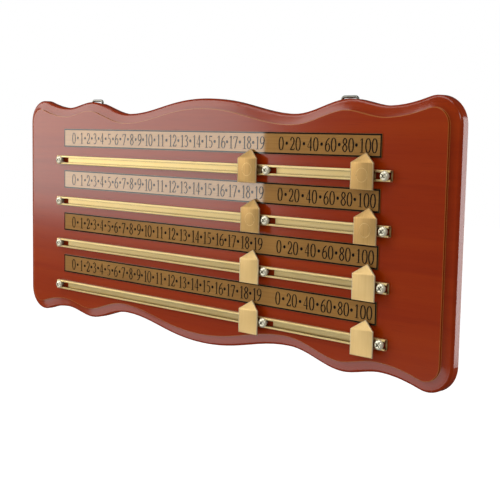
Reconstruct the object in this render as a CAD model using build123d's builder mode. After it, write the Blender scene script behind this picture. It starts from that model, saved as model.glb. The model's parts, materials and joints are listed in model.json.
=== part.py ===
# Wall scoring board: a moulded wooden board with four number strips, four brass
# channel rails, and eight brass pointers that slide along the rails.
# X runs right along the board, Z up, and -Y out of the wall towards the reader.
# The origin is the middle of the board's back face, which rests on the wall.
# Plane.XZ.offset(h) is the plane that stands h in front of the wall.
from build123d import *
import os

os.makedirs("parts", exist_ok=True)

# ---- driving dimensions, in millimetres and degrees ----
board_width = 580.0
board_height = 238.8
board_thickness = 12.5
corner_radius = 24.2
corner_lean = 17.6          # how far past its top the corner arc runs on
notch_inset = 71.4          # wave points: distance in from the side, drop from the crest
notch_drop = 8.1
lobe_inset = 112.1
lobe_drop = 2.0
dip_inset = 174.1
dip_drop = 14.8

moulding_width = 9.8        # edge moulding, measured in from the side wall
moulding_step = 2.2         # drop from the field to the hollow
arris_inset = 3.5           # sharp line between the hollow and the round
arris_depth = 3.6
round_depth = 6.8           # where the round runs out of the side wall
round_sag = 1.0
hollow_sag = 0.2
cutter_overrun = 0.2        # the cutter passes this far outside the side wall
cutter_cover = 2.0          # and this far over the face

row_count = 4
rows_margin = 25.4          # board height kept clear above and below the rows, each
rows_drop = 14.9            # middle of the rails below the middle of the board
top_row_drop = 1.6          # the top row sits this much lower than an even spacing

rail_width = 9.6
rail_height = 4.0
rail_wall = 0.8
rail_corner = 1.0           # outside radius of the channel's folds
lip_width = 1.9
rail_end_margin = 60.9      # end of a rail to the side of the board
rail_overhang = 5.2         # end of a rail to the middle of its end screw
short_span = 132.4          # middle screw to right screw
end_slot_reach = 12.0       # floor slot, inward from an end screw
end_bar = 1.4               # floor left whole at the end of a rail
middle_slot_reach = 9.5     # floor slot, each way from the middle screw

strip_height = 19.8
strip_thickness = 0.8
strip_rise = 0.9            # above the middle of the space between two rails
strip_left_gap = 4.4        # left screw to the strip's left end
strip_right_gap = 6.7       # strip's right end to the right screw

screw_head_radius = 4.3
screw_head_height = 3.0
screw_head_rim = 1.1
screw_head_flat = 1.6
screw_head_bulge = 0.5
screw_shank_radius = 1.8
screw_length = 13.0
screw_point_length = 1.0
pilot_clearance = 0.05
pilot_spare = 0.5           # pilot hole past the screw's point
recess_length = 4.6
recess_width = 1.0
recess_depth = 1.7

pointer_width = 23.6
pointer_foot = 12.2         # lower edge below the rail's middle line
pointer_shoulder = 10.2     # fold line above the rail's middle line
pointer_tip = 18.4          # tip above the rail's middle line
pointer_sheet = 1.2
pointer_standoff = 2.4      # back of the pointer's face above the rail lips
pointer_bend = 1.2
tip_clearance = 0.6         # back of the tip above the number strip
pointer_gap = 0.3           # pointer's edge to the screw head that stops it

runner_length = 10.0
runner_clearance = 0.35     # between runner and channel, all round

hanger_inset = 116.0        # middle of a hanger to the side of the board
hanger_pocket_depth = 4.6
hanger_pocket_width = 22.0
hanger_pocket_below = 27.5  # pocket's lower end below the ring's hinge line
pocket_over_crest = 5.0     # pocket's upper end above the board's crest
ring_wire_radius = 1.25
ring_width = 19.4           # outside
ring_height = 18.0          # outside
ring_bend = 2.6             # middle line of the wire at the corners
ring_above_board = 2.8      # top of the raised ring above the lobe
strap_width = 11.0
strap_thickness = 1.2
strap_length = 26.0         # below the hinge line
hinge_clearance = 0.06
strap_screw_head_radius = 2.8
strap_screw_head_height = 1.5
strap_screw_shank_radius = 1.5
strap_screw_length = 7.0
strap_pilot_spare = 0.4
strap_screw_drops = (8.0, 21.5)     # below the hinge line

# ---- worked out from the driving dimensions ----
half_width = board_width / 2
crest_height = board_height / 2
lobe_x = half_width - lobe_inset
hanger_x = half_width - hanger_inset
row_pitch = (board_height - 2 * rows_margin) / row_count
row_heights = [((row_count - 1) / 2 - i) * row_pitch - rows_drop for i in range(row_count)]
row_heights[0] -= top_row_drop
rail_length = board_width - 2 * rail_end_margin
right_screw_x = rail_length / 2 - rail_overhang
left_screw_x = -right_screw_x
middle_screw_x = right_screw_x - short_span
screw_places = (left_screw_x, middle_screw_x, right_screw_x)
rail_slot = rail_width - 2 * lip_width
lip_top = board_thickness + rail_height
face_back = lip_top + pointer_standoff
face_middle = face_back + pointer_sheet / 2

# A pointer stops with its edge just clear of a screw head.
stop_distance = screw_head_radius + pointer_gap + pointer_width / 2
units_right_stop = middle_screw_x - stop_distance
scores_right_stop = right_screw_x - stop_distance
top_row_back = 5.0          # the top row's pointers rest this far left of their stops

hinge_z = crest_height - lobe_drop + ring_above_board - ring_height + ring_wire_radius
curl_radius = ring_wire_radius + hinge_clearance + strap_thickness
hinge_h = hanger_pocket_depth - curl_radius


def quarter_edge():
    # Upper right quarter of the board's edge, from mid-side up to the crest.
    corner_z = crest_height - corner_radius
    Line((half_width, 0), (half_width, corner_z))
    corner = CenterArc((half_width - corner_radius, corner_z), corner_radius, 0, 90 + corner_lean)
    Spline(
        corner @ 1,
        (half_width - notch_inset, crest_height - notch_drop),
        (lobe_x, crest_height - lobe_drop),
        (half_width - dip_inset, crest_height - dip_drop),
        (0, crest_height),
        tangents=(corner % 1, (-1, 0), (-1, 0), (-1, 0), (-1, 0)),
    )


# ---- edge moulding cutter: one quarter swept, then mirrored ----
with BuildPart() as moulding_cutter:
    with BuildLine(Plane.XZ) as quarter_path:
        quarter_edge()
    # In this sketch x runs in from the side wall and y runs out from the wall.
    with BuildSketch(Plane((half_width, 0, 0), x_dir=(-1, 0, 0), z_dir=(0, 0, 1))):
        with BuildLine():
            round_foot = (-cutter_overrun, board_thickness - round_depth)
            arris = (arris_inset, board_thickness - arris_depth)
            step_foot = (moulding_width, board_thickness - moulding_step)
            cover = board_thickness + cutter_cover
            SagittaArc(round_foot, arris, round_sag)
            SagittaArc(arris, step_foot, -hollow_sag)
            Polyline(
                step_foot, (moulding_width, cover), (-cutter_cover, cover),
                (-cutter_cover, board_thickness - round_depth), round_foot,
            )
        make_face()
    sweep(path=quarter_path.line)
    mirror(about=Plane.YZ)
    mirror(about=Plane.XY)

# ---- board ----
with BuildPart() as board:
    with BuildSketch(Plane.XZ):
        with BuildLine():
            quarter_edge()
            mirror(about=Plane.YZ)
            mirror(about=Plane.XZ)
        make_face()
    extrude(amount=board_thickness)
    add(moulding_cutter.part, mode=Mode.SUBTRACT)
    with BuildSketch(Plane.XZ.offset(board_thickness)):
        for z in row_heights:
            with Locations(*[(x, z) for x in screw_places]):
                Circle(screw_shank_radius + pilot_clearance)
    pilot_depth = screw_length - rail_height + pilot_spare
    extrude(amount=-pilot_depth, mode=Mode.SUBTRACT)
    # Pockets for the hangers, open at the back and at the top edge.
    pocket_foot = hinge_z - hanger_pocket_below
    pocket_top = crest_height + pocket_over_crest
    with BuildSketch(Plane.XZ):
        for x in (-hanger_x, hanger_x):
            with Locations((x, (pocket_foot + pocket_top) / 2)):
                Rectangle(hanger_pocket_width, pocket_top - pocket_foot)
    extrude(amount=hanger_pocket_depth, mode=Mode.SUBTRACT)
    with BuildSketch(Plane.XZ.offset(hanger_pocket_depth)):
        for x in (-hanger_x, hanger_x):
            with Locations(*[(x, hinge_z - drop) for drop in strap_screw_drops]):
                Circle(strap_screw_shank_radius + pilot_clearance)
    strap_pilot_depth = strap_screw_length - strap_thickness + strap_pilot_spare
    extrude(amount=strap_pilot_depth, mode=Mode.SUBTRACT)
board.part.label = "board"
export_step(board.part, "parts/board.step")

# ---- number strips ----
strip_left = left_screw_x + strip_left_gap
strip_right = right_screw_x - strip_right_gap
for i, row_z in enumerate(row_heights):
    with BuildPart() as number_strip:
        with BuildSketch(Plane.XZ.offset(board_thickness)):
            with Locations(((strip_left + strip_right) / 2, row_z + row_pitch / 2 + strip_rise)):
                Rectangle(strip_right - strip_left, strip_height)
        extrude(amount=strip_thickness)
    number_strip.part.label = f"number_strip_{i + 1}"
    export_step(number_strip.part, f"parts/number_strip_{i + 1}.step")

# ---- rails: a channel with lips turned in, its floor cut away round each screw ----
for i, row_z in enumerate(row_heights):
    with BuildPart() as rail:
        with BuildSketch(Plane.YZ.offset(-rail_length / 2)):
            with Locations((-board_thickness - rail_height / 2, row_z)):
                RectangleRounded(rail_height, rail_width, rail_corner)
                Rectangle(rail_height - 2 * rail_wall, rail_width - 2 * rail_wall, mode=Mode.SUBTRACT)
            with Locations((-lip_top + rail_wall / 2, row_z)):
                Rectangle(rail_wall, rail_slot, mode=Mode.SUBTRACT)
        extrude(amount=rail_length)
        with BuildSketch(Plane.XZ.offset(board_thickness)):
            end_slot = rail_overhang - end_bar + end_slot_reach
            for side in (-1, 1):
                with Locations((side * (rail_length / 2 - end_bar - end_slot / 2), row_z)):
                    Rectangle(end_slot, rail_slot)
            with Locations((middle_screw_x, row_z)):
                Rectangle(2 * middle_slot_reach, rail_slot)
        extrude(amount=rail_wall, mode=Mode.SUBTRACT)
    rail.part.label = f"rail_{i + 1}"
    export_step(rail.part, f"parts/rail_{i + 1}.step")

# ---- rail screws: cross-recess pan heads that clamp the lips and stop the pointers ----
with BuildPart() as rail_screws:
    for row_z in row_heights:
        for x in screw_places:
            with BuildSketch(Plane((x, 0, row_z), x_dir=(1, 0, 0), z_dir=(0, 0, 1))):
                with BuildLine():
                    rim_h = lip_top + screw_head_rim
                    top_h = lip_top + screw_head_height
                    screw_end = lip_top - screw_length
                    Polyline(
                        (0, -top_h), (0, -screw_end),
                        (screw_shank_radius, -screw_end - screw_point_length),
                        (screw_shank_radius, -lip_top), (screw_head_radius, -lip_top),
                        (screw_head_radius, -rim_h),
                    )
                    SagittaArc((screw_head_radius, -rim_h), (screw_head_flat, -top_h), screw_head_bulge)
                    Line((screw_head_flat, -top_h), (0, -top_h))
                make_face()
            revolve(axis=Axis((x, 0, row_z), (0, 1, 0)))
    with BuildSketch(Plane.XZ.offset(lip_top + screw_head_height)):
        for row_z in row_heights:
            with Locations(*[(x, row_z) for x in screw_places]):
                Rectangle(recess_length, recess_width, rotation=45)
                Rectangle(recess_width, recess_length, rotation=45)
    extrude(amount=-recess_depth, mode=Mode.SUBTRACT)
rail_screws.part.label = "rail_screws"
export_step(rail_screws.part, "parts/rail_screws.step")

# ---- pointers: bent brass sheets with a gable that leans back to the strip ----
strip_face = board_thickness + strip_thickness
tip_middle = strip_face + tip_clearance + pointer_sheet / 2
runner_foot_thickness = rail_height - 2 * rail_wall - 2 * runner_clearance
runner_foot_height = rail_width - 2 * rail_wall - 2 * runner_clearance
runner_neck_height = rail_slot - 2 * runner_clearance
foot_back = board_thickness + rail_wall + runner_clearance
foot_front = foot_back + runner_foot_thickness
for i, row_z in enumerate(row_heights):
    back_off = top_row_back if i == 0 else 0
    for kind, right_stop in (("units", units_right_stop), ("scores", scores_right_stop)):
        pointer_x = right_stop - back_off
        with BuildPart() as pointer:
            with BuildSketch(Plane.YZ.offset(pointer_x)):
                with BuildLine():
                    FilletPolyline(
                        (-face_middle, row_z - pointer_foot),
                        (-face_middle, row_z + pointer_shoulder),
                        (-tip_middle, row_z + pointer_tip),
                        radius=pointer_bend,
                    )
                trace(line_width=pointer_sheet)
            extrude(amount=pointer_width / 2, both=True)
            with BuildSketch(Plane.XZ.offset(board_thickness)):
                with Locations((pointer_x, row_z)):
                    Polygon(
                        (-pointer_width / 2, -pointer_foot), (pointer_width / 2, -pointer_foot),
                        (pointer_width / 2, pointer_shoulder), (0, pointer_tip),
                        (-pointer_width / 2, pointer_shoulder), align=None,
                    )
            extrude(amount=2 * (face_middle - board_thickness), mode=Mode.INTERSECT)
        pointer.part.label = f"pointer_{kind}_{i + 1}"
        export_step(pointer.part, f"parts/pointer_{kind}_{i + 1}.step")

        with BuildPart() as runner:
            with BuildSketch(Plane.XZ.offset(foot_back)):
                with Locations((pointer_x, row_z)):
                    Rectangle(runner_length, runner_foot_height)
            extrude(amount=runner_foot_thickness)
            with BuildSketch(Plane.XZ.offset(foot_front)):
                with Locations((pointer_x, row_z)):
                    Rectangle(runner_length, runner_neck_height)
            extrude(amount=face_back - foot_front)
        runner.part.label = f"runner_{kind}_{i + 1}"
        export_step(runner.part, f"parts/runner_{kind}_{i + 1}.step")

# ---- hangers: a strap screwed into each pocket, curled round a hinged wire ring ----
for side, x in (("left", -hanger_x), ("right", hanger_x)):
    with BuildPart() as strap:
        with BuildSketch(Plane.YZ.offset(x)):
            with Locations((-hinge_h, hinge_z)):
                Circle(curl_radius)
            strap_middle_y = -hanger_pocket_depth + strap_thickness / 2
            with Locations((strap_middle_y, hinge_z - strap_length / 2)):
                Rectangle(strap_thickness, strap_length)
            with Locations((-hinge_h, hinge_z)):
                Circle(ring_wire_radius + hinge_clearance, mode=Mode.SUBTRACT)
        extrude(amount=strap_width / 2, both=True)
        with BuildSketch(Plane.XZ.offset(hanger_pocket_depth)):
            with Locations(*[(x, hinge_z - drop) for drop in strap_screw_drops]):
                Circle(strap_screw_shank_radius + pilot_clearance)
        extrude(amount=-strap_thickness, mode=Mode.SUBTRACT)
        foot_edges = strap.edges().filter_by(Axis.Y).group_by(Axis.Z)[0]
        fillet(foot_edges, radius=strap_width / 4)
    strap.part.label = f"hanger_strap_{side}"
    export_step(strap.part, f"parts/hanger_strap_{side}.step")

    with BuildPart() as strap_screws:
        for drop in strap_screw_drops:
            screw_z = hinge_z - drop
            head_seat = hanger_pocket_depth - strap_thickness
            with BuildSketch(Plane.XZ.offset(head_seat - strap_screw_head_height)):
                with Locations((x, screw_z)):
                    Circle(strap_screw_head_radius)
            extrude(amount=strap_screw_head_height)
            with BuildSketch(Plane.XZ.offset(head_seat)):
                with Locations((x, screw_z)):
                    Circle(strap_screw_shank_radius)
            extrude(amount=strap_screw_length)
    strap_screws.part.label = f"hanger_screws_{side}"
    export_step(strap_screws.part, f"parts/hanger_screws_{side}.step")

    with BuildPart() as ring:
        wire_half = ring_width / 2 - ring_wire_radius
        wire_top = hinge_z + ring_height - 2 * ring_wire_radius
        with BuildLine(Plane.XZ.offset(hinge_h)) as ring_path:
            FilletPolyline(
                (x - wire_half, hinge_z), (x + wire_half, hinge_z),
                (x + wire_half, wire_top), (x - wire_half, wire_top),
                radius=ring_bend, close=True,
            )
        ring_wire = ring_path.wire()
        with BuildSketch(Plane(ring_wire @ 0, z_dir=ring_wire % 0)):
            Circle(ring_wire_radius)
        sweep(path=ring_wire)
    ring.part.label = f"hanger_ring_{side}"
    export_step(ring.part, f"parts/hanger_ring_{side}.step")
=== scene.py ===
import bpy
import bmesh
import json
import math
from mathutils import Matrix, Vector


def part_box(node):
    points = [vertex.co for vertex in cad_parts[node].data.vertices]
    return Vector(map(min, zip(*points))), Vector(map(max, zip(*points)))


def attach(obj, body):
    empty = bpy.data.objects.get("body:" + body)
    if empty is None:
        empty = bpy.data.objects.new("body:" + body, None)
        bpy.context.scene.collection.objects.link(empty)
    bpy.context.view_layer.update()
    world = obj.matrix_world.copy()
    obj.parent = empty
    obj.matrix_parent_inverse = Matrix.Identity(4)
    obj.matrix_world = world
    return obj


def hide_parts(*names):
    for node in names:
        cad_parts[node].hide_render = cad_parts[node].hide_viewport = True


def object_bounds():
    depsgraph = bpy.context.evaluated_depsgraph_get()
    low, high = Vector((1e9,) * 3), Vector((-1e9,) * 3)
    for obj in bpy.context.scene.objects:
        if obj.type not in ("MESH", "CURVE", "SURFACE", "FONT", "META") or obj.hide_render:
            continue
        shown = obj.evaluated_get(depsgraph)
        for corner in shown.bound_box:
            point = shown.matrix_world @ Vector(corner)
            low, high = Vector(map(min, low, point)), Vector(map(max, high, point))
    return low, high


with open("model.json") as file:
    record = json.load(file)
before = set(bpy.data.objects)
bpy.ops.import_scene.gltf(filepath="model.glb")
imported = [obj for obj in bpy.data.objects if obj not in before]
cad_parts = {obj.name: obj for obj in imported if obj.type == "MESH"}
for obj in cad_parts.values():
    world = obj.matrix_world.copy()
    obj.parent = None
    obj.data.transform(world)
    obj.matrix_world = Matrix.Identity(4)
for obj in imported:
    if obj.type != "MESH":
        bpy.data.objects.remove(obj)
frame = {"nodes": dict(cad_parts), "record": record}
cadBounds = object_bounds()
nodes = frame["nodes"]
print("frame loaded:", len(nodes), "nodes")


class Wire:
    # a node's output, so that shader maths reads as plain expressions
    def __init__(self, shader, socket):
        self.shader = shader
        self.socket = socket

    def maths(self, operation, *others, clamp=False):
        values = dict(enumerate(others))
        return self.shader.node("ShaderNodeMath", dict(operation=operation, use_clamp=clamp), values)

    def __add__(self, other):
        return self.maths("ADD", self, other)

    def __radd__(self, other):
        return self.maths("ADD", other, self)

    def __sub__(self, other):
        return self.maths("SUBTRACT", self, other)

    def __rsub__(self, other):
        return self.maths("SUBTRACT", other, self)

    def __mul__(self, other):
        return self.maths("MULTIPLY", self, other)

    def __rmul__(self, other):
        return self.maths("MULTIPLY", other, self)

    def clamped(self):
        return self.maths("MULTIPLY", self, 1.0, clamp=True)


class Shader:
    def __init__(self, name, **fixed):
        self.material = bpy.data.materials.new(name)
        self.material.use_nodes = True
        self.tree = self.material.node_tree
        self.surface = self.tree.nodes["Principled BSDF"]
        for word, value in fixed.items():
            self.surface.inputs[word.replace("_", " ")].default_value = value
        self.place = self.node("ShaderNodeTexCoord", output="Object")

    def node(self, kind, settings=None, values=None, output=0):
        made = self.tree.nodes.new(kind)
        for word, value in (settings or {}).items():
            if word == "stops":
                ramp = made.color_ramp
                while len(ramp.elements) < len(value):
                    ramp.elements.new(0.5)
                for stop, (at, colour) in zip(ramp.elements, value):
                    stop.position = at
                    stop.color = colour
            else:
                setattr(made, word, value)
        for word, value in (values or {}).items():
            self.join(value, made.inputs[word])
        return Wire(self, made.outputs[output])

    def join(self, value, socket):
        if isinstance(value, Wire):
            self.tree.links.new(value.socket, socket)
        else:
            socket.default_value = value

    def set(self, word, value):
        self.join(value, self.surface.inputs[word])

    def stretched(self, scale):
        return self.node("ShaderNodeMapping", {}, {"Vector": self.place, "Scale": scale})

    def noise(self, vector, scale=1.0, detail=2.0, roughness=0.5, distortion=0.0):
        return self.node("ShaderNodeTexNoise", {}, {"Vector": vector, "Scale": scale, "Detail": detail,
                                                    "Roughness": roughness, "Distortion": distortion})

    def span(self, value, low, high):
        # 0 at low, 1 at high, and held there beyond them
        return self.node("ShaderNodeMapRange", dict(clamp=True),
                         {"Value": value, "From Min": low, "From Max": high})

    def mix(self, factor, first, second):
        # sockets 6 and 7 are the colour inputs, and output 2 the colour
        return self.node("ShaderNodeMix", dict(data_type="RGBA"), {0: factor, 6: first, 7: second}, output=2)

    def bump(self, height, strength, distance, normal):
        return self.node("ShaderNodeBump", {}, {"Height": height, "Strength": strength, "Distance": distance,
                                                "Normal": normal})

    def eased(self, radius):
        # the normal with sharp edges softened, and how sharp the nearest edge is
        soft = self.node("ShaderNodeBevel", dict(samples=8), {"Radius": radius})
        flat = self.node("ShaderNodeNewGeometry", output=1)
        agree = self.node("ShaderNodeVectorMath", dict(operation="DOT_PRODUCT"), {0: soft, 1: flat}, output=1)
        return soft, 1 - agree

    def openness(self, distance, ownShape):
        return self.node("ShaderNodeAmbientOcclusion", dict(samples=8, only_local=ownShape),
                         {"Distance": distance}, output=1)


def srgb(red, green, blue):
    # red, green and blue from 0 to 255
    def linear(part):
        part = part / 255
        return part / 12.92 if part <= 0.04045 else ((part + 0.055) / 1.055) ** 2.4
    return (linear(red), linear(green), linear(blue), 1.0)


mahogany = dict(
    light=srgb(158, 56, 2), mid=srgb(141, 41, 1), dark=srgb(121, 29, 1), toneStops=(0.30, 0.48, 0.72),
    pore=srgb(76, 18, 4), poreSize=(40, 1500, 1500), poreFrom=(0.62, 0.74), poreWeight=0.2,
    drift=(1.5, 6, 6), grain=(1.6, 55, 55), fibre=(9, 620, 620), waver=0.5,
    rubAndHighlight=srgb(190, 116, 52), edgeRadius=0.0012, rubAndHighlightFrom=(0.01, 0.10), rubAndHighlightWeight=0.85,
    cornerShade=srgb(38, 12, 4), cornerShadeReach=0.0022, cornerShadeFrom=(0.25, 0.62),
    roughness=0.38, coatRoughness=0.17, sheen=0.03, bump=0.03, bumpDepth=0.0003)


def makeMahogany():
    # stained wood under lacquer, with a painted highlight along its sharp edges that also stands for stain
    # rubbed through, and painted shade in its corners
    wood = Shader("mahogany", Coat_Weight=1.0, Coat_Roughness=mahogany["coatRoughness"], Coat_IOR=1.5,
                  Specular_IOR_Level=mahogany["sheen"])
    drift = wood.noise(wood.stretched(mahogany["drift"]), detail=2)
    bands = wood.noise(wood.stretched(mahogany["grain"]), detail=4, roughness=0.6,
                       distortion=mahogany["waver"])
    fibre = wood.noise(wood.stretched(mahogany["fibre"]), detail=3, roughness=0.6)
    tone = (drift * 0.5 + bands * 0.4 + fibre * 0.1).clamped()
    colour = wood.node("ShaderNodeValToRGB", dict(stops=list(zip(
        mahogany["toneStops"], (mahogany["dark"], mahogany["mid"], mahogany["light"])))), {0: tone})
    pores = wood.span(wood.noise(wood.stretched(mahogany["poreSize"]), detail=1), *mahogany["poreFrom"])
    colour = wood.mix(pores * mahogany["poreWeight"], colour, mahogany["pore"])
    # painted highlight: lighter colour along the sharp edges, standing in for light caught there as well as
    # stain rubbed through
    soft, sharp = wood.eased(mahogany["edgeRadius"])
    rubAndHighlight = wood.span(sharp, *mahogany["rubAndHighlightFrom"]) * mahogany["rubAndHighlightWeight"]
    colour = wood.mix(rubAndHighlight, colour, mahogany["rubAndHighlight"])
    # painted shade: colour darkened in the inside corners, as far as ambient occlusion finds them closed in
    clear = wood.span(wood.openness(mahogany["cornerShadeReach"], True), *mahogany["cornerShadeFrom"])
    wood.set("Base Color", wood.mix(clear, mahogany["cornerShade"], colour))
    wood.set("Roughness", mahogany["roughness"] + fibre * 0.12)
    wood.set("Normal", wood.bump(bands * 0.6 + fibre * 0.2, mahogany["bump"], mahogany["bumpDepth"], soft))
    return wood.material


metals = dict(toneFrom=(0.3, 0.7), edge=0.0003, polishAndHighlightFrom=(0.01, 0.09), bumpDepth=0.0002)


def makeMetal(name, colour, dark, roughness, lines=(12, 700, 700), smear=45.0, bump=0.03, metallic=1.0,
              stretch=0.0, uneven=0.14, creviceShade=None, polishAndHighlight=None):
    # drawn or brushed metal: fine lines along one axis, a little tarnish, faint smears
    metal = Shader(name, Metallic=metallic, Anisotropic=stretch)
    drawn = metal.noise(metal.stretched(lines), detail=3, roughness=0.65)
    cloud = metal.noise(metal.place, scale=smear, detail=3)
    shade = (drawn * 0.55 + cloud * 0.45).clamped()
    tint = metal.mix(metal.span(shade, *metals["toneFrom"]), dark, colour)
    # painted shade: colour darkened towards the creviceShade colour where ambient occlusion finds the surface
    # closed in
    if creviceShade:
        gap = metal.openness(creviceShade["reach"], False)
        tint = metal.mix(metal.span(gap, *creviceShade["fade"]), creviceShade["colour"], tint)
    soft, sharp = metal.eased(polishAndHighlight["edge"] if polishAndHighlight else metals["edge"])
    # painted highlight: lighter colour along the sharp edges, standing in for light caught there as well as
    # polish
    if polishAndHighlight:
        tint = metal.mix(metal.span(sharp, *metals["polishAndHighlightFrom"]), tint, polishAndHighlight["colour"])
    metal.set("Base Color", tint)
    metal.set("Roughness", roughness + (drawn - 0.5) * uneven + (cloud - 0.5) * uneven * 0.7)
    metal.set("Normal", metal.bump(drawn, bump, metals["bumpDepth"], soft))
    return metal.material


plate = dict(gold=srgb(168, 122, 58), brown=srgb(140, 98, 42), roughness=0.45, metallic=0.3, sheen=0.2,
             brushing=(8, 1100, 1100), cloud=(12, 30, 30), toneFrom=(0.35, 0.65), edge=0.0002,
             bump=0.05, bumpDepth=0.0004)
gloss = dict(roughness=0.03, bend=1.75)     # the clear gloss over plate and print


def makePlate():
    # gold-coloured printed plate, finely brushed along its length, under clear gloss
    sheet = Shader("numberPlate", Coat_Weight=1.0, Coat_Roughness=gloss["roughness"], Coat_IOR=gloss["bend"],
                   Metallic=plate["metallic"], Specular_IOR_Level=plate["sheen"])
    brushed = sheet.noise(sheet.stretched(plate["brushing"]), detail=3, roughness=0.6)
    cloud = sheet.noise(sheet.stretched(plate["cloud"]), detail=3)
    tone = sheet.span(brushed * 0.5 + cloud * 0.5, *plate["toneFrom"])
    sheet.set("Base Color", sheet.mix(tone, plate["brown"], plate["gold"]))
    sheet.set("Roughness", plate["roughness"] + (brushed - 0.5) * 0.2)
    sheet.set("Normal", sheet.bump(cloud, plate["bump"], plate["bumpDepth"], sheet.eased(plate["edge"])[0]))
    return sheet.material


printed = dict(black=srgb(6, 5, 4), grey=srgb(20, 16, 12), speck=900.0, roughness=0.45, gloss=0.6, sheen=0.05)


def makeInk():
    ink = Shader("plateInk", Coat_Weight=printed["gloss"], Coat_Roughness=gloss["roughness"],
                 Coat_IOR=gloss["bend"], Specular_IOR_Level=printed["sheen"])
    speck = ink.noise(ink.place, scale=printed["speck"], detail=2)
    ink.set("Base Color", ink.mix(speck, printed["black"], printed["grey"]))
    ink.set("Roughness", printed["roughness"] + speck * 0.2)
    return ink.material


across = (700, 700, 12)     # brushing that runs up and down a pointer
finishes = {
    "mahogany": makeMahogany(),
    "number_plate": makePlate(),
    "rail_brass": makeMetal("railBrass", srgb(255, 232, 172), srgb(250, 222, 150), 0.39, lines=(1, 420, 420),
                            bump=0.01, stretch=0.6, uneven=0.05, metallic=0.75,
                            # painted shade under the lips of the channel and close to neighbouring parts
                            creviceShade=dict(colour=srgb(112, 68, 22), reach=0.004, fade=(0.34, 0.76))),
    "pointer_brass": makeMetal("pointerBrass", srgb(246, 212, 146), srgb(232, 194, 124), 0.44, lines=across,
                               # painted highlight along the edges, together with polish
                               metallic=0.5, polishAndHighlight=dict(colour=srgb(255, 246, 214), edge=0.0014)),
    "runner_brass": makeMetal("runnerBrass", srgb(196, 158, 84), srgb(160, 124, 60), 0.35),
    "screw_nickel": makeMetal("screwNickel", srgb(255, 250, 226), srgb(248, 240, 208), 0.20, smear=300.0,
                              metallic=0.45,
                              # painted shade in the cross recess and close to neighbouring parts
                              creviceShade=dict(colour=srgb(60, 46, 30), reach=0.0016, fade=(0.35, 0.8))),
    "hanger_steel": makeMetal("hangerSteel", srgb(170, 170, 160), srgb(126, 126, 116), 0.32),
}
inkFinish = makeInk()
# the pointers of the two upper rows are a darker gold
bronzeFinish = makeMetal("pointerBronze", srgb(226, 184, 116), srgb(196, 154, 88), 0.42, lines=across,
                         bump=0.06, metallic=0.6, uneven=0.2,
                         # painted highlight along the edges, together with polish
                         polishAndHighlight=dict(colour=srgb(255, 236, 190), edge=0.0014))
ringFinish = makeMetal("ringBrass", srgb(246, 216, 156), srgb(232, 198, 130), 0.3, metallic=0.75)
slotOf = {part["node"]: part["material_slot"] for part in frame["record"]["subparts"]}
for name, node in nodes.items():
    node.data.materials.clear()
    node.data.materials.append(finishes[slotOf[name]])
print("finishes made:", len(finishes), "for the material slots and 3 more")


# seen from the right and a little above
camera = dict(azimuth=44.03, elevation=6.285, roll=1.10, lens=74.59, film=36.0, farthest=50.0,
              at=(0.73219, -0.69848, 0.08437))


def makeCamera():
    data = bpy.data.cameras.new("camera")
    data.lens = camera["lens"]
    data.sensor_width = camera["film"]
    data.clip_end = camera["farthest"]
    made = bpy.data.objects.new("camera", data)
    bpy.context.scene.collection.objects.link(made)
    turn, lift = math.radians(camera["azimuth"]), math.radians(camera["elevation"])
    back = Vector((math.sin(turn) * math.cos(lift), -math.cos(turn) * math.cos(lift), math.sin(lift)))
    right = (-back).cross(Vector((0, 0, 1))).normalized()
    up = right.cross(-back)
    roll = math.radians(camera["roll"])
    tilted = right * math.cos(roll) + up * math.sin(roll)
    upright = up * math.cos(roll) - right * math.sin(roll)
    made.matrix_world = Matrix((
        (tilted.x, upright.x, back.x, camera["at"][0]),
        (tilted.y, upright.y, back.y, camera["at"][1]),
        (tilted.z, upright.z, back.z, camera["at"][2]),
        (0, 0, 0, 1)))
    bpy.context.scene.camera = made


makeCamera()


def placed(shape, name, finish, body):
    # a finished piece in board coordinates, riding on its body
    mesh = bpy.data.meshes.new(name)
    bmesh.ops.recalc_face_normals(shape, faces=shape.faces)
    shape.to_mesh(mesh)
    shape.free()
    piece = bpy.data.objects.new(name, mesh)
    bpy.context.scene.collection.objects.link(piece)
    mesh.materials.append(finish)
    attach(piece, body)
    return piece


def raised(shape, faces, lift):
    # gives a flat shape its thickness, towards the reader
    made = bmesh.ops.extrude_face_region(shape, geom=faces, use_keep_orig=True)["geom"]
    lifted = [v for v in made if isinstance(v, bmesh.types.BMVert)]
    bmesh.ops.translate(shape, verts=lifted, vec=(0, -lift, 0))


# pointers, with the edges of the sheet eased
easing = dict(pointer=0.0003, segments=2, foot=0.0008, footSegments=4, together=0.000002,
              sharp=math.radians(26), crease=math.radians(32), flat=math.radians(0.5))


def easedCopy(node, width, foot):
    # the node's own shape with its sharp edges rounded over, most along the front of its foot
    shape = bmesh.new()
    shape.from_mesh(nodes[node].data)
    bmesh.ops.remove_doubles(shape, verts=shape.verts, dist=easing["together"])
    bmesh.ops.dissolve_limit(shape, angle_limit=easing["flat"], verts=shape.verts, edges=shape.edges)
    lowest = min(vert.co.z for vert in shape.verts) + easing["together"]
    nearest = min(vert.co.y for vert in shape.verts) + easing["together"]
    front = [edge for edge in shape.edges
             if all(vert.co.z < lowest and vert.co.y < nearest for vert in edge.verts)]
    bmesh.ops.bevel(shape, geom=front, offset=foot, affect="EDGES", segments=easing["footSegments"],
                    profile=0.5, material=-1, clamp_overlap=True)
    corners = [edge for edge in shape.edges if edge.is_manifold and edge.calc_face_angle() > easing["sharp"]]
    bmesh.ops.bevel(shape, geom=corners, offset=width, affect="EDGES", segments=easing["segments"],
                    profile=0.5, material=-1, clamp_overlap=True)
    return shape


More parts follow.
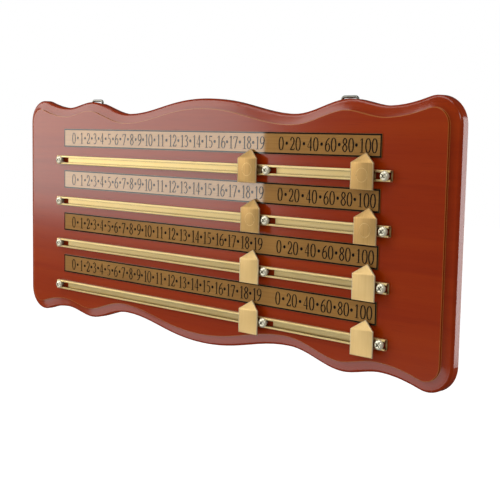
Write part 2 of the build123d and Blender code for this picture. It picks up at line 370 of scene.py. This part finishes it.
def creased(piece):
    # smooth shading, kept crisp at the corners
    for face in piece.data.polygons:
        face.use_smooth = True
    shape = bmesh.new()
    shape.from_mesh(piece.data)
    for edge in shape.edges:
        edge.smooth = edge.is_manifold and edge.calc_face_angle() < easing["crease"]
    shape.to_mesh(piece.data)
    shape.free()


pointerRing = dict(radius=0.0060, line=0.00042, proud=0.00003, sunk=0.00012, sides=40, rows=(1, 2))


def markPointer(kind, index):
    # a plain ring lightly raised on the face of the pointer
    low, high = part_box(f"pointer_{kind}_{index}")
    railLow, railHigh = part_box(f"rail_{index}")
    middle = Vector(((low.x + high.x) / 2, low.y + pointerRing["sunk"], (railLow.z + railHigh.z) / 2))
    shape = bmesh.new()
    facing = Matrix.Translation(middle) @ Matrix.Rotation(math.pi / 2, 4, "X")
    bmesh.ops.create_circle(shape, cap_ends=True, segments=pointerRing["sides"], radius=pointerRing["radius"],
                            matrix=facing)
    disc = shape.faces[:]
    rim = bmesh.ops.inset_region(shape, faces=disc, thickness=pointerRing["line"], use_boundary=True,
                                 use_even_offset=True)["faces"]
    bmesh.ops.delete(shape, geom=disc, context="FACES_ONLY")
    raised(shape, rim, pointerRing["sunk"] + pointerRing["proud"])
    placed(shape, f"ring_mark_{kind}_{index}", ringFinish, f"{kind}_pointer_{index}")


for index in range(1, 5):
    for kind in ("units", "scores"):
        node = f"pointer_{kind}_{index}"
        face = placed(easedCopy(node, easing["pointer"], easing["foot"]), f"face_{kind}_{index}",
                      bronzeFinish if index in pointerRing["rows"] else finishes["pointer_brass"],
                      f"{kind}_pointer_{index}")
        creased(face)
        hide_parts(node)
        if index in pointerRing["rows"]:
            markPointer(kind, index)
print("8 pointers eased, 4 marked with a ring")


# numerals and borders on the strips
ink = dict(height=0.0001, sunk=0.00004, digitTall=0.0117, thick=0.00130, thin=0.00052, lean=1.3,
           border=0.0013, borderInset=0.00015, dotRadius=0.0015, dotSides=10, dotRise=0.0001, drop=0.0002)
unitsPrint = dict(width=0.0057, advance=0.0061)
scoresPrint = dict(width=0.0056, advance=0.0067)

# Each digit is a few pen strokes in a box one wide and one tall. "ring" closes a stroke,
# and a number in place of None gives the stroke one width throughout, as a share of thick.
digitStrokes = {
    "0": [([(0.5, 0.99), (0.2, 0.88), (0.06, 0.5), (0.2, 0.12), (0.5, 0.01), (0.8, 0.12), (0.94, 0.5),
            (0.8, 0.88)], "ring", None)],
    "1": [([(0.56, 0.0), (0.56, 1.0)], "line", None), ([(0.22, 0.84), (0.52, 0.98)], "line", 0.34),
          ([(0.2, 0.015), (0.92, 0.015)], "line", 0.3)],
    "2": [([(0.13, 0.74), (0.24, 0.93), (0.52, 0.98), (0.84, 0.78), (0.7, 0.5), (0.1, 0.06)], "curve", None),
          ([(0.08, 0.055), (0.86, 0.055), (0.94, 0.2)], "line", 0.75)],
    "3": [([(0.14, 0.84), (0.46, 0.985), (0.8, 0.77), (0.42, 0.54)], "curve", None),
          ([(0.42, 0.54), (0.74, 0.47), (0.86, 0.25), (0.5, 0.015), (0.12, 0.12)], "curve", None)],
    "4": [([(0.68, 0.0), (0.68, 1.0)], "line", None), ([(0.68, 0.97), (0.04, 0.3)], "line", 0.36),
          ([(0.03, 0.28), (0.98, 0.28)], "line", 0.5)],
    "5": [([(0.22, 0.93), (0.86, 0.93)], "line", 0.85), ([(0.24, 0.95), (0.18, 0.56)], "line", 0.36),
          ([(0.18, 0.56), (0.6, 0.58), (0.88, 0.32), (0.6, 0.04), (0.12, 0.07)], "curve", None)],
    "6": [([(0.86, 0.97), (0.38, 0.8), (0.08, 0.36), (0.3, 0.04), (0.7, 0.04), (0.92, 0.3), (0.66, 0.58),
            (0.18, 0.44)], "curve", None)],
    "7": [([(0.06, 0.76), (0.1, 0.93), (0.94, 0.93)], "line", 0.7),
          ([(0.92, 0.93), (0.36, 0.0)], "line", 0.9)],
    "8": [([(0.5, 0.99), (0.17, 0.77), (0.5, 0.54), (0.83, 0.77)], "ring", None),
          ([(0.5, 0.54), (0.09, 0.27), (0.5, 0.01), (0.91, 0.27)], "ring", None)],
    "9": [([(0.14, 0.03), (0.62, 0.2), (0.92, 0.64), (0.7, 0.96), (0.3, 0.96), (0.08, 0.7), (0.34, 0.42),
            (0.82, 0.56)], "curve", None)],
}


def penPath(points, kind):
    # the middle line of a stroke, rounded through its points unless it is made of straight runs
    if kind == "line":
        return points
    closed = kind == "ring"
    steps = 16 // len(points) if closed else 2
    count = len(points)
    path = []
    for i in range(count if closed else count - 1):
        if closed:
            before, start, end, after = (points[(i + k) % count] for k in (-1, 0, 1, 2))
        else:
            before, start = points[max(i - 1, 0)], points[i]
            end, after = points[i + 1], points[min(i + 2, count - 1)]
        for step in range(steps):
            u = step / steps
            path.append(tuple(
                0.5 * (2 * b + (c - a) * u + (2 * a - 5 * b + 4 * c - d) * u * u
                       + (3 * b - a - 3 * c + d) * u ** 3)
                for a, b, c, d in zip(before, start, end, after)))
    if not closed:
        path.append(points[-1])
    return path


def inkStroke(shape, points, kind, weight, width, tall):
    # a flat ribbon that is thick where the pen runs up or down and thin where it runs across
    path = [((u - 0.5) * width, (v - 0.5) * tall) for u, v in penPath(points, kind)]
    closed = kind == "ring"
    count = len(path)
    pairs = []
    for i, (x, z) in enumerate(path):
        last = path[i - 1] if closed or i else path[0]
        following = path[(i + 1) % count] if closed or i < count - 1 else path[-1]
        along = Vector((following[0] - last[0], following[1] - last[1])).normalized()
        if weight is None:
            half = (ink["thin"] + (ink["thick"] - ink["thin"]) * abs(along.y) ** ink["lean"]) / 2
        else:
            half = ink["thick"] * weight / 2
        out = (-along.y * half, along.x * half)
        pairs.append((shape.verts.new((x + out[0], 0, z + out[1])),
                      shape.verts.new((x - out[0], 0, z - out[1]))))
    faces = []
    for i in range(count if closed else count - 1):
        (a, b), (c, d) = pairs[i], pairs[(i + 1) % count]
        faces.append(shape.faces.new((a, b, d, c)))
    return faces


def makeDigits(width):
    meshes = {}
    for digit, strokes in digitStrokes.items():
        shape = bmesh.new()
        for points, kind, weight in strokes:
            faces = inkStroke(shape, points, kind, weight, width, ink["digitTall"])
            raised(shape, faces, ink["height"] + ink["sunk"])
        meshes[digit] = bpy.data.meshes.new("digit")
        shape.to_mesh(meshes[digit])
        shape.free()
    return meshes


unitsDigits = makeDigits(unitsPrint["width"])
scoresDigits = makeDigits(scoresPrint["width"])
unitsPlaces = (
    -0.2017, -0.1878, -0.1757, -0.1642, -0.1521, -0.1396, -0.1275, -0.1150, -0.1025, -0.0900,
    -0.0761, -0.0576, -0.0395, -0.0224, -0.0048, 0.0119, 0.0291, 0.0453, 0.0629, 0.0796,
)
scoresPlaces = (0.1060, 0.1227, 0.1431, 0.1630, 0.1820, 0.2033)


def printNumber(shape, number, digits, layout, x, y, z):
    word = str(number)
    for i, digit in enumerate(word):
        before = len(shape.verts)
        shape.from_mesh(digits[digit])
        shape.verts.ensure_lookup_table()
        place = x + (i - (len(word) - 1) / 2) * layout["advance"]
        bmesh.ops.translate(shape, verts=shape.verts[before:], vec=(place, y, z))


def printDot(shape, x, y, z):
    facing = Matrix.Translation((x, y, z)) @ Matrix.Rotation(math.pi / 2, 4, "X")
    made = bmesh.ops.create_circle(shape, cap_ends=True, segments=ink["dotSides"], radius=ink["dotRadius"],
                                   matrix=facing)
    faces = {face for vert in made["verts"] for face in vert.link_faces}
    raised(shape, list(faces), ink["height"] + ink["sunk"])


def printStrip(index):
    low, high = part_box(f"number_strip_{index}")
    y = low.y + ink["sunk"]
    middleZ = (low.z + high.z) / 2 - ink["drop"]
    dotZ = (low.z + high.z) / 2 + ink["dotRise"]
    shape = bmesh.new()
    for places, numbers, digits, layout in (
            (unitsPlaces, range(20), unitsDigits, unitsPrint),
            (scoresPlaces, range(0, 120, 20), scoresDigits, scoresPrint)):
        for k, (x, number) in enumerate(zip(places, numbers)):
            printNumber(shape, number, digits, layout, x, y, middleZ)
            if k:
                left = places[k - 1] + (len(str(numbers[k - 1])) * layout["advance"]) / 2
                right = x - (len(str(number)) * layout["advance"]) / 2
                printDot(shape, (left + right) / 2, y, dotZ)
    inset = ink["borderInset"]
    corners = [(low.x + inset, low.z + inset), (high.x - inset, low.z + inset),
               (high.x - inset, high.z - inset), (low.x + inset, high.z - inset)]
    sheet = shape.faces.new([shape.verts.new((x, y, z)) for x, z in corners])
    sheet.normal_update()
    rim = bmesh.ops.inset_region(shape, faces=[sheet], thickness=ink["border"],
                                  use_boundary=True, use_even_offset=True)["faces"]
    bmesh.ops.delete(shape, geom=[sheet], context="FACES_ONLY")
    raised(shape, rim, ink["height"] + ink["sunk"])
    placed(shape, f"strip_ink_{index}", inkFinish, "board_body")


for index in range(1, 5):
    printStrip(index)
print("numerals printed on 4 strips")


# floor, world and lights
studio = dict(floorDrop=1.30, floorSize=30.0, floorGrey=(0.92, 0.92, 0.92, 1.0), floorGlow=0.7,
              seen=1.0, gloss=0.035, around=0.44)
softboxes = dict(
    window=dict(at=(-2.50, -1.50, 0.87), aim=(-2.50, 0.0, 0.87), size=(2.36, 2.13), power=50.0,
                colour=(1.0, 0.965, 0.915)),
    overhead=dict(at=(-0.50, -1.10, 2.30), aim=(0.0, 0.0, 0.0), size=(2.20, 1.40), power=22.0),
    side=dict(at=(1.60, 1.50, 0.10), aim=(0.29, 0.0, 0.0), size=(1.10, 1.30), power=18.0),
    low=dict(at=(-0.60, -1.30, -0.95), aim=(0.0, 0.0, 0.0), size=(2.20, 0.80), power=8.0),
    key=dict(at=(1.90, -2.00, 1.30), aim=(0.1, 0.0, 0.0), size=(0.70, 0.70), power=9.0),
)


def makeFloor():
    shape = bmesh.new()
    bmesh.ops.create_grid(shape, x_segments=1, y_segments=1, size=studio["floorSize"] / 2)
    bmesh.ops.translate(shape, verts=shape.verts, vec=(0, 0, cadBounds[0][2] - studio["floorDrop"]))
    mesh = bpy.data.meshes.new("floor")
    shape.to_mesh(mesh)
    shape.free()
    floor = bpy.data.objects.new("floor", mesh)
    bpy.context.scene.collection.objects.link(floor)
    pale = Shader("paleFloor", Roughness=0.8, Emission_Strength=studio["floorGlow"])
    pale.set("Base Color", studio["floorGrey"])
    pale.set("Emission Color", (1.0, 1.0, 1.0, 1.0))
    mesh.materials.append(pale.material)
    floor.visible_glossy = False
    floor.visible_diffuse = False


def makeWorld():
    # pale behind the board, dimmer to whatever is polished, so that the softboxes make the gloss
    world = bpy.data.worlds.new("studio")
    world.use_nodes = True
    tree = world.node_tree
    backdrop = tree.nodes["Background"]
    ray = tree.nodes.new("ShaderNodeLightPath")
    glossy = tree.nodes.new("ShaderNodeMix")
    glossy.inputs[2].default_value = studio["around"]
    glossy.inputs[3].default_value = studio["gloss"]
    seen = tree.nodes.new("ShaderNodeMix")
    seen.inputs[3].default_value = studio["seen"]
    tree.links.new(ray.outputs["Is Glossy Ray"], glossy.inputs[0])
    tree.links.new(glossy.outputs[0], seen.inputs[2])
    tree.links.new(ray.outputs["Is Camera Ray"], seen.inputs[0])
    tree.links.new(seen.outputs[0], backdrop.inputs["Strength"])
    backdrop.inputs["Color"].default_value = (1, 1, 1, 1)
    bpy.context.scene.world = world
    bpy.context.scene.view_settings.view_transform = "Standard"


def makeSoftbox(name, at, aim, size, power, colour=(1.0, 1.0, 1.0)):
    data = bpy.data.lights.new(name, "AREA")
    data.shape = "RECTANGLE"
    data.size, data.size_y = size
    data.energy = power
    data.color = colour
    light = bpy.data.objects.new(name, data)
    light.location = at
    light.rotation_euler = (Vector(aim) - Vector(at)).to_track_quat("-Z", "Y").to_euler()
    light.visible_camera = False
    bpy.context.scene.collection.objects.link(light)


makeFloor()
makeWorld()
for name, box in softboxes.items():
    makeSoftbox(name, **box)
print("camera and studio made")
